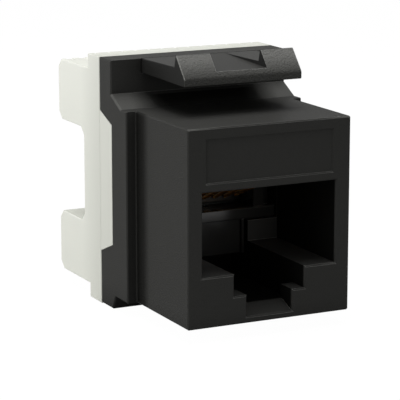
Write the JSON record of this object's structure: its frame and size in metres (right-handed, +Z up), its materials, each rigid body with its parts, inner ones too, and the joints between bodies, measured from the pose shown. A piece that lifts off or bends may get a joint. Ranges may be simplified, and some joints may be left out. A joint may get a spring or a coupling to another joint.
{
  "type": "keystone jack",
  "caption": "Snap-in panel jack with a stepped plug socket in front, a spring release latch on top and a slotted wire block at the back.",
  "frame": {"origin": "under the middle of the whole part's box, at its lowest point", "axes": "+X to the right seen from the plug face, +Y from the plug face to the wire block, +Z up to the release latch"},
  "size_m": [0.0162, 0.0238, 0.022],
  "materials": {
    "black_plastic": "fine moulded satin black",
    "latch_plastic": "black, with a spark-eroded grain on the thumb face",
    "carrier_plastic": "smooth semi-gloss black",
    "board_laminate": "solder-mask green",
    "white_plastic": "satin warm white",
    "gold_plate": "bright gold plate",
    "tin_plate": "dull tin plate"
  },
  "bodies": {
    "root": {"front_housing": "black_plastic", "contact_carrier": "carrier_plastic", "circuit_board": "board_laminate", "idc_block": "white_plastic", "contact_wire_1": "gold_plate", "contact_wire_2": "gold_plate", "contact_wire_3": "gold_plate", "contact_wire_4": "gold_plate", "contact_wire_5": "gold_plate", "contact_wire_6": "gold_plate", "contact_wire_7": "gold_plate", "contact_wire_8": "gold_plate", "idc_terminal_1": "tin_plate", "idc_terminal_2": "tin_plate", "idc_terminal_3": "tin_plate", "idc_terminal_4": "tin_plate", "idc_terminal_5": "tin_plate", "idc_terminal_6": "tin_plate", "idc_terminal_7": "tin_plate", "idc_terminal_8": "tin_plate"},
    "latch": {"release_latch": "latch_plastic"}
  },
  "joints": [
    {"name": "latch_flex", "type": "hinge", "parent": "root", "child": "latch", "pos_m": [0, 0.0007, 0.02041], "axis": [1, 0, 0], "range_deg": [0, 18], "stiffness_Nm_per_rad": 0.05}
  ]
}
